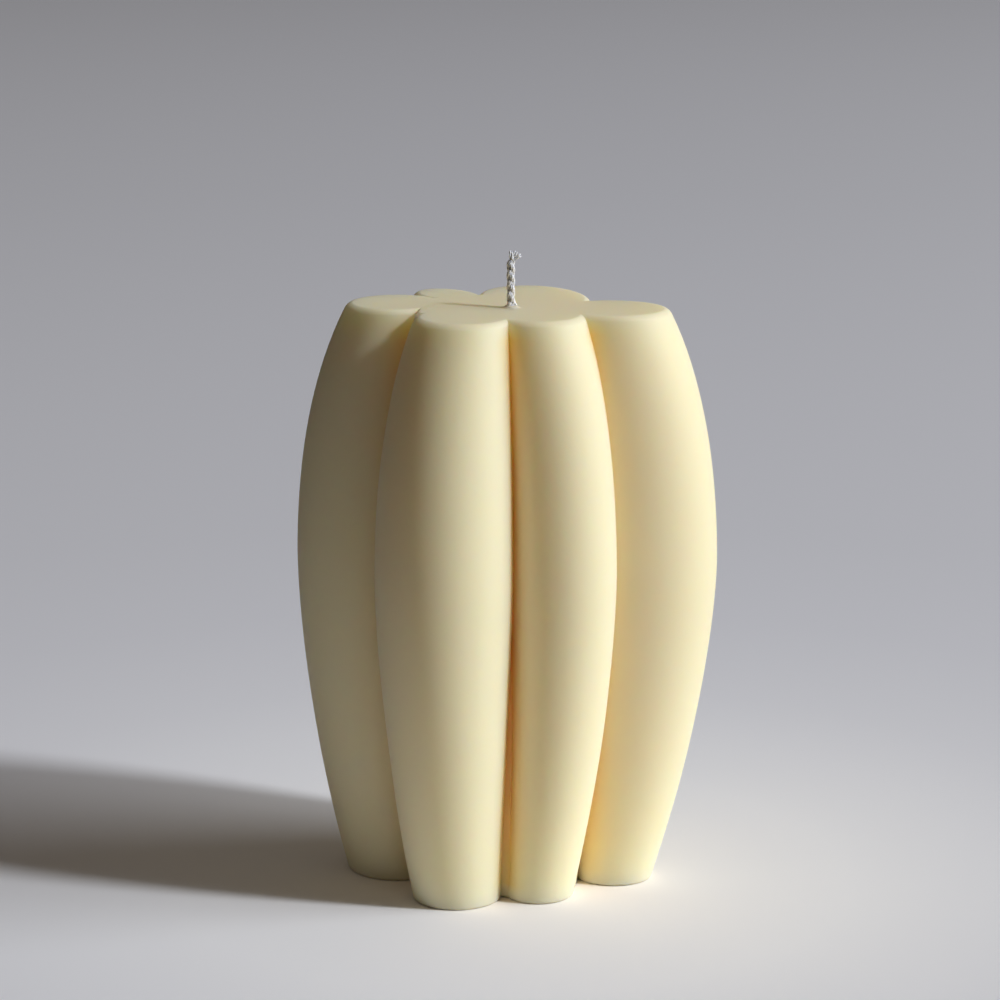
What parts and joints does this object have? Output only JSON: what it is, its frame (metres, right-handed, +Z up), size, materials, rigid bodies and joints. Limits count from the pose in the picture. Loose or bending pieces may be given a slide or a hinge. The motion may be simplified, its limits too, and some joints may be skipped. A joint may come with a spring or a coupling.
{
  "type": "sculptural pillar candle",
  "caption": "Free-standing ivory wax pillar candle cast as a cluster of swelling round lobes with a flat top and base, lit by a central cotton wick held by a steel tab in a wax plug.",
  "frame": {"origin": "centre of the box round the candle, on the plane that its flat base stands on", "axes": "+Z up along the wick, +X to the right and +Y to the back as the picture shows the candle"},
  "size_m": [0.097, 0.0768, 0.1483],
  "materials": {
    "wax": "satin ivory wax, slightly translucent",
    "plug_wax": "matt ivory wax, second pour",
    "wick_cotton": "braided cotton, lightly waxed",
    "tab_steel": "tin-plated pressed steel"
  },
  "bodies": {
    "root": {"wax_body": "wax", "base_plug": "plug_wax", "wick": "wick_cotton", "wick_tab": "tab_steel"}
  },
  "joints": []
}
